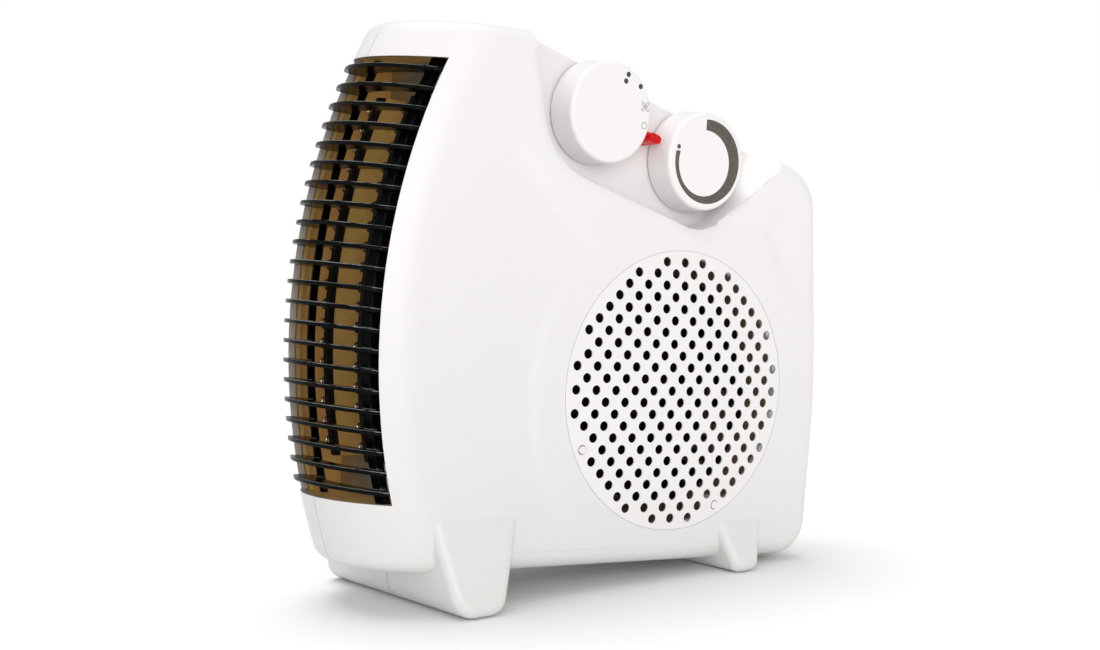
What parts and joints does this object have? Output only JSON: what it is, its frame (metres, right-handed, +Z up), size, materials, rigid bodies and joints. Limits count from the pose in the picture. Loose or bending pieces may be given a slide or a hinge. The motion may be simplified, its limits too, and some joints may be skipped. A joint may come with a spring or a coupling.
{
  "type": "fan heater",
  "caption": "Upright white fan heater on foot bars, with a round perforated air intake, a louvred outlet wrapping one end and control dials in a corner scoop.",
  "frame": {"origin": "centre of the bounding box at floor level, under the feet", "axes": "+X to the right along the front face, +Y to the back, +Z up; the intake and dials face -Y and the outlet is at the -X end"},
  "size_m": [0.2628, 0.1102, 0.2473],
  "materials": {
    "casing_plastic": "satin moulded white plastic",
    "disc_plastic": "satin moulded white plastic",
    "dial_plastic": "smooth white plastic with printed marks",
    "grille_plastic": "heat-proof black plastic",
    "liner_metal": "yellow-passivated sheet steel",
    "plate_metal": "bright sheet metal",
    "board_mica": "pressed mica board",
    "rail_ceramic": "dark fired ceramic",
    "wire_metal": "bright resistance wire",
    "sensor_metal": "plain metal cans",
    "spindle_metal": "turned steel",
    "nut_metal": "zinc-plated steel",
    "switch_plastic": "black switch moulding",
    "lens_plastic": "translucent red plastic",
    "lamp_glass": "clear glass",
    "wheel_plastic": "black moulded fan",
    "motor_steel": "zinc-plated steel",
    "cap_plastic": "pale nylon",
    "magnet_ferrite": "dark ferrite",
    "bracket_metal": "zinc-plated sheet steel",
    "scroll_plastic": "pale heat-proof plastic",
    "gland_plastic": "moulded white plastic",
    "block_plastic": "pale nylon",
    "screw_steel": "zinc-plated steel"
  },
  "bodies": {
    "heater": {"front_shell": "casing_plastic", "rear_shell": "casing_plastic", "intake_grille": "disc_plastic", "grille_pins": "disc_plastic", "outlet_grille": "grille_plastic", "heat_liner": "liner_metal", "top_end_plate": "plate_metal", "bottom_end_plate": "plate_metal", "front_mica_board": "board_mica", "rear_mica_board": "board_mica", "front_element_rail": "rail_ceramic", "rear_element_rail": "rail_ceramic", "low_heat_wire": "wire_metal", "high_heat_wire": "wire_metal", "thermal_cutout": "sensor_metal", "thermal_fuse": "sensor_metal", "selector_switch": "switch_plastic", "thermostat_body": "sensor_metal", "selector_nut": "nut_metal", "thermostat_nut": "nut_metal", "lamp_lens": "lens_plastic", "neon_lamp": "lamp_glass", "motor_can": "motor_steel", "motor_cap": "cap_plastic", "motor_magnet": "magnet_ferrite", "motor_bracket": "bracket_metal", "fan_scroll": "scroll_plastic", "cord_gland": "gland_plastic", "cord_clamp": "gland_plastic", "terminal_block": "block_plastic", "case_screws": "screw_steel", "bracket_screws": "screw_steel", "motor_screws": "screw_steel", "clamp_screws": "screw_steel"},
    "selector_dial": {"selector_knob": "dial_plastic", "selector_spindle": "spindle_metal"},
    "thermostat_dial": {"thermostat_knob": "dial_plastic", "thermostat_spindle": "spindle_metal"},
    "fan_rotor": {"fan_wheel": "wheel_plastic", "motor_shaft": "spindle_metal", "motor_rotor": "motor_steel"}
  },
  "joints": [
    {"name": "selector_turn", "type": "hinge", "parent": "heater", "child": "selector_dial", "pos_m": [0.00583, -0.037, 0.21019], "axis": [0, 1, 0], "range_deg": [0, 79]},
    {"name": "thermostat_turn", "type": "hinge", "parent": "heater", "child": "thermostat_dial", "pos_m": [0.06075, -0.037, 0.18889], "axis": [0, 1, 0], "range_deg": [0, 285]},
    {"name": "fan_spin", "type": "hinge", "parent": "heater", "child": "fan_rotor", "pos_m": [0.04112, -0.028, 0.08577], "axis": [0, 1, 0], "continuous": true}
  ]
}
